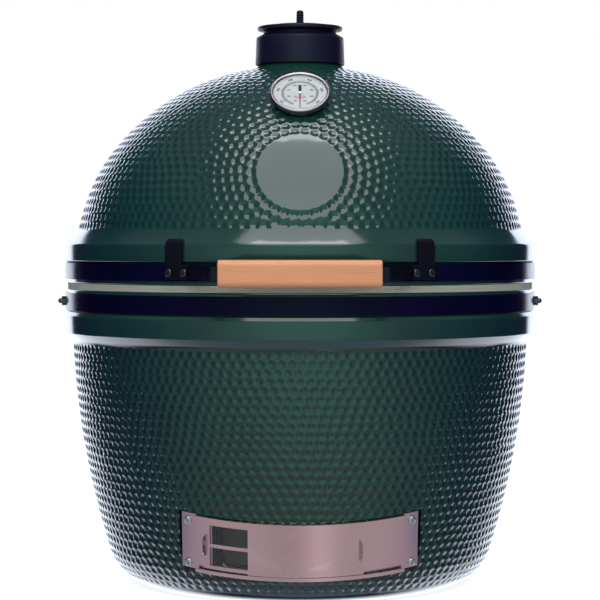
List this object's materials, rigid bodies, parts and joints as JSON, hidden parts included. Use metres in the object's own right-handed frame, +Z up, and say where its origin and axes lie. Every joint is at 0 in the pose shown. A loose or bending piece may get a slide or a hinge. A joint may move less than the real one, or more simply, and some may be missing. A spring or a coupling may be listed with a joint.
{
  "type": "kamado ceramic grill",
  "caption": "Egg-shaped ceramic charcoal grill with a hinged dome, wooden handle, chimney damper, dome thermometer and sliding draft doors.",
  "frame": {"origin": "on the grill's vertical axis, at the floor it stands on", "axes": "+Z up; the front with handle, dial and draft vent faces -Y; the hinge is on the +Y side; +X is the viewer's right"},
  "size_m": [0.7024, 0.8333, 0.8386],
  "materials": {
    "glaze": "deep green glaze, dimpled",
    "fireclay": "bare fired clay",
    "felt": "wool felt",
    "band_black": "gloss black powder coat",
    "fitting_black": "satin black powder coat",
    "zinc": "bright zinc",
    "black_bolt": "black oxide, semi gloss",
    "stainless": "brushed along its length",
    "grate_rod": "polished rod",
    "iron": "raw casting",
    "cap_black": "matte black high-heat paint",
    "grip_wood": "oiled, fine straight grain",
    "spring_steel": "oiled spring wire",
    "chrome": "polished",
    "dial_white": "satin white with printed scale",
    "pointer_black": "matte black",
    "hub_white": "gloss white",
    "dial_glass": "clear"
  },
  "bodies": {
    "base": {"base_ceramic": "glaze", "base_gasket": "felt", "base_band": "band_black", "base_band_studs": "zinc", "base_band_nuts": "black_bolt", "base_clamp_bolt": "zinc", "base_clamp_nut": "zinc", "firebox": "fireclay", "fire_ring": "fireclay", "charcoal_grate": "iron", "vent_frame": "stainless", "vent_screws": "zinc", "base_hinge_bracket": "fitting_black", "base_hinge_bolts": "black_bolt", "hinge_pin": "zinc", "hinge_pin_nut": "zinc", "hinge_springs": "spring_steel", "spring_eyes": "zinc", "spring_nuts": "zinc"},
    "lid": {"lid_ceramic": "glaze", "lid_gasket": "felt", "lid_band": "band_black", "lid_band_rivets": "black_bolt", "lid_clamp_bolt": "zinc", "lid_clamp_nut": "zinc", "lid_hinge_bracket": "fitting_black", "lid_hinge_bolts": "black_bolt", "lever_bar": "zinc", "handle_bracket_left": "fitting_black", "handle_bracket_right": "fitting_black", "handle_bracket_bolts": "black_bolt", "handle_grip": "grip_wood", "handle_screws": "black_bolt", "cap_body": "cap_black", "cap_gasket": "felt", "damper_pivot": "black_bolt", "thermometer_case": "chrome", "thermometer_bezel": "chrome", "thermometer_dial": "dial_white", "thermometer_glass": "dial_glass", "thermometer_stem": "chrome", "thermometer_clip": "zinc"},
    "grate": {"cooking_grate": "grate_rod"},
    "screen": {"screen_door": "stainless", "screen_mesh": "spring_steel"},
    "draft": {"draft_door": "stainless"},
    "damper": {"damper_plate": "cap_black", "daisy_bolt": "black_bolt"},
    "daisy": {"daisy_wheel": "cap_black", "daisy_knob": "cap_black"},
    "pointer": {"thermometer_pointer": "pointer_black", "pointer_hub": "hub_white"}
  },
  "joints": [
    {"name": "lid_hinge", "type": "hinge", "parent": "base", "child": "lid", "pos_m": [0, 0.378, 0.4351], "axis": [-1, 0, 0], "range_deg": [0, 72], "deforming": ["hinge_springs"]},
    {"name": "grate_lift", "type": "slide", "parent": "base", "child": "grate", "axis": [0, 0, 1], "range_m": [0, 0.05]},
    {"name": "screen_slide", "type": "hinge", "parent": "base", "child": "screen", "pos_m": [0, 0, 0.15938], "axis": [0, -0.2672, 0.9636], "range_deg": [-1.5, 9.5]},
    {"name": "draft_slide", "type": "hinge", "parent": "base", "child": "draft", "pos_m": [0, 0, 0.15938], "axis": [0, -0.2672, 0.9636], "range_deg": [-9.5, 10.5]},
    {"name": "damper_swing", "type": "hinge", "parent": "lid", "child": "damper", "pos_m": [0, 0.0472, 0.811], "axis": [0, 0, 1], "range_deg": [0, 100]},
    {"name": "daisy_turn", "type": "hinge", "parent": "damper", "child": "daisy", "pos_m": [0, 0, 0.8157], "axis": [0, 0, 1], "range_deg": [0, 30]},
    {"name": "pointer_turn", "type": "hinge", "parent": "lid", "child": "pointer", "pos_m": [0, -0.21, 0.6935], "axis": [0, 0.6972, -0.7169], "range_deg": [0, 310], "stiffness_Nm_per_rad": 0.001}
  ]
}
